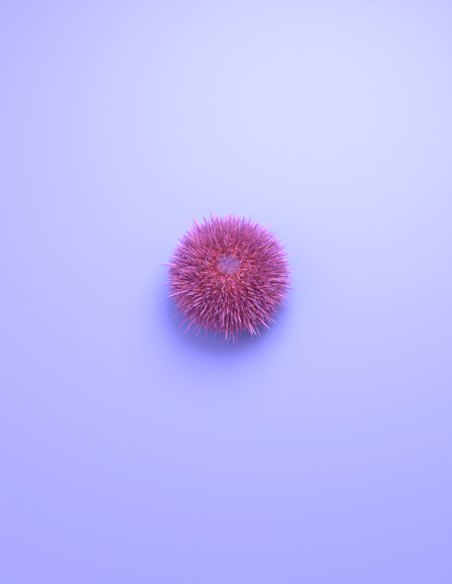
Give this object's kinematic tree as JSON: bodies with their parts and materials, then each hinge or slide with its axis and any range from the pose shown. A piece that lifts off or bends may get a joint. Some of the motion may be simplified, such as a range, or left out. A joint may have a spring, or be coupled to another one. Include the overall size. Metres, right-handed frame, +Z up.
{
  "type": "salmacis sea urchin model",
  "caption": "Still life-size salmacis sea urchin: low domed test under a dense coat of short banded pink spines, apical plates on top and the mouth below, resting on its lower spines.",
  "frame": {"origin": "on the floor under the middle of the urchin's box, at the level of the flats of the lower spines", "axes": "+Z up through the mouth and the apex, -Y towards the side that faces the viewer in the picture"},
  "size_m": [0.111, 0.1111, 0.0656],
  "materials": {
    "spiny_test": "matte",
    "apical_plates": "matte",
    "periproct_skin": "satin",
    "mouth_membrane": "satin",
    "teeth": "gloss"
  },
  "bodies": {
    "root": {"ambulacrum_1": "spiny_test", "interambulacrum_1": "spiny_test", "ambulacrum_2": "spiny_test", "interambulacrum_2": "spiny_test", "ambulacrum_3": "spiny_test", "interambulacrum_3": "spiny_test", "ambulacrum_4": "spiny_test", "interambulacrum_4": "spiny_test", "ambulacrum_5": "spiny_test", "interambulacrum_5": "spiny_test", "genital_plate_1": "apical_plates", "ocular_plate_1": "apical_plates", "madreporite": "apical_plates", "ocular_plate_2": "apical_plates", "genital_plate_3": "apical_plates", "ocular_plate_3": "apical_plates", "genital_plate_4": "apical_plates", "ocular_plate_4": "apical_plates", "genital_plate_5": "apical_plates", "ocular_plate_5": "apical_plates", "periproct": "periproct_skin", "peristome": "mouth_membrane", "tooth_1": "teeth", "tooth_2": "teeth", "tooth_3": "teeth", "tooth_4": "teeth", "tooth_5": "teeth"}
  },
  "joints": []
}
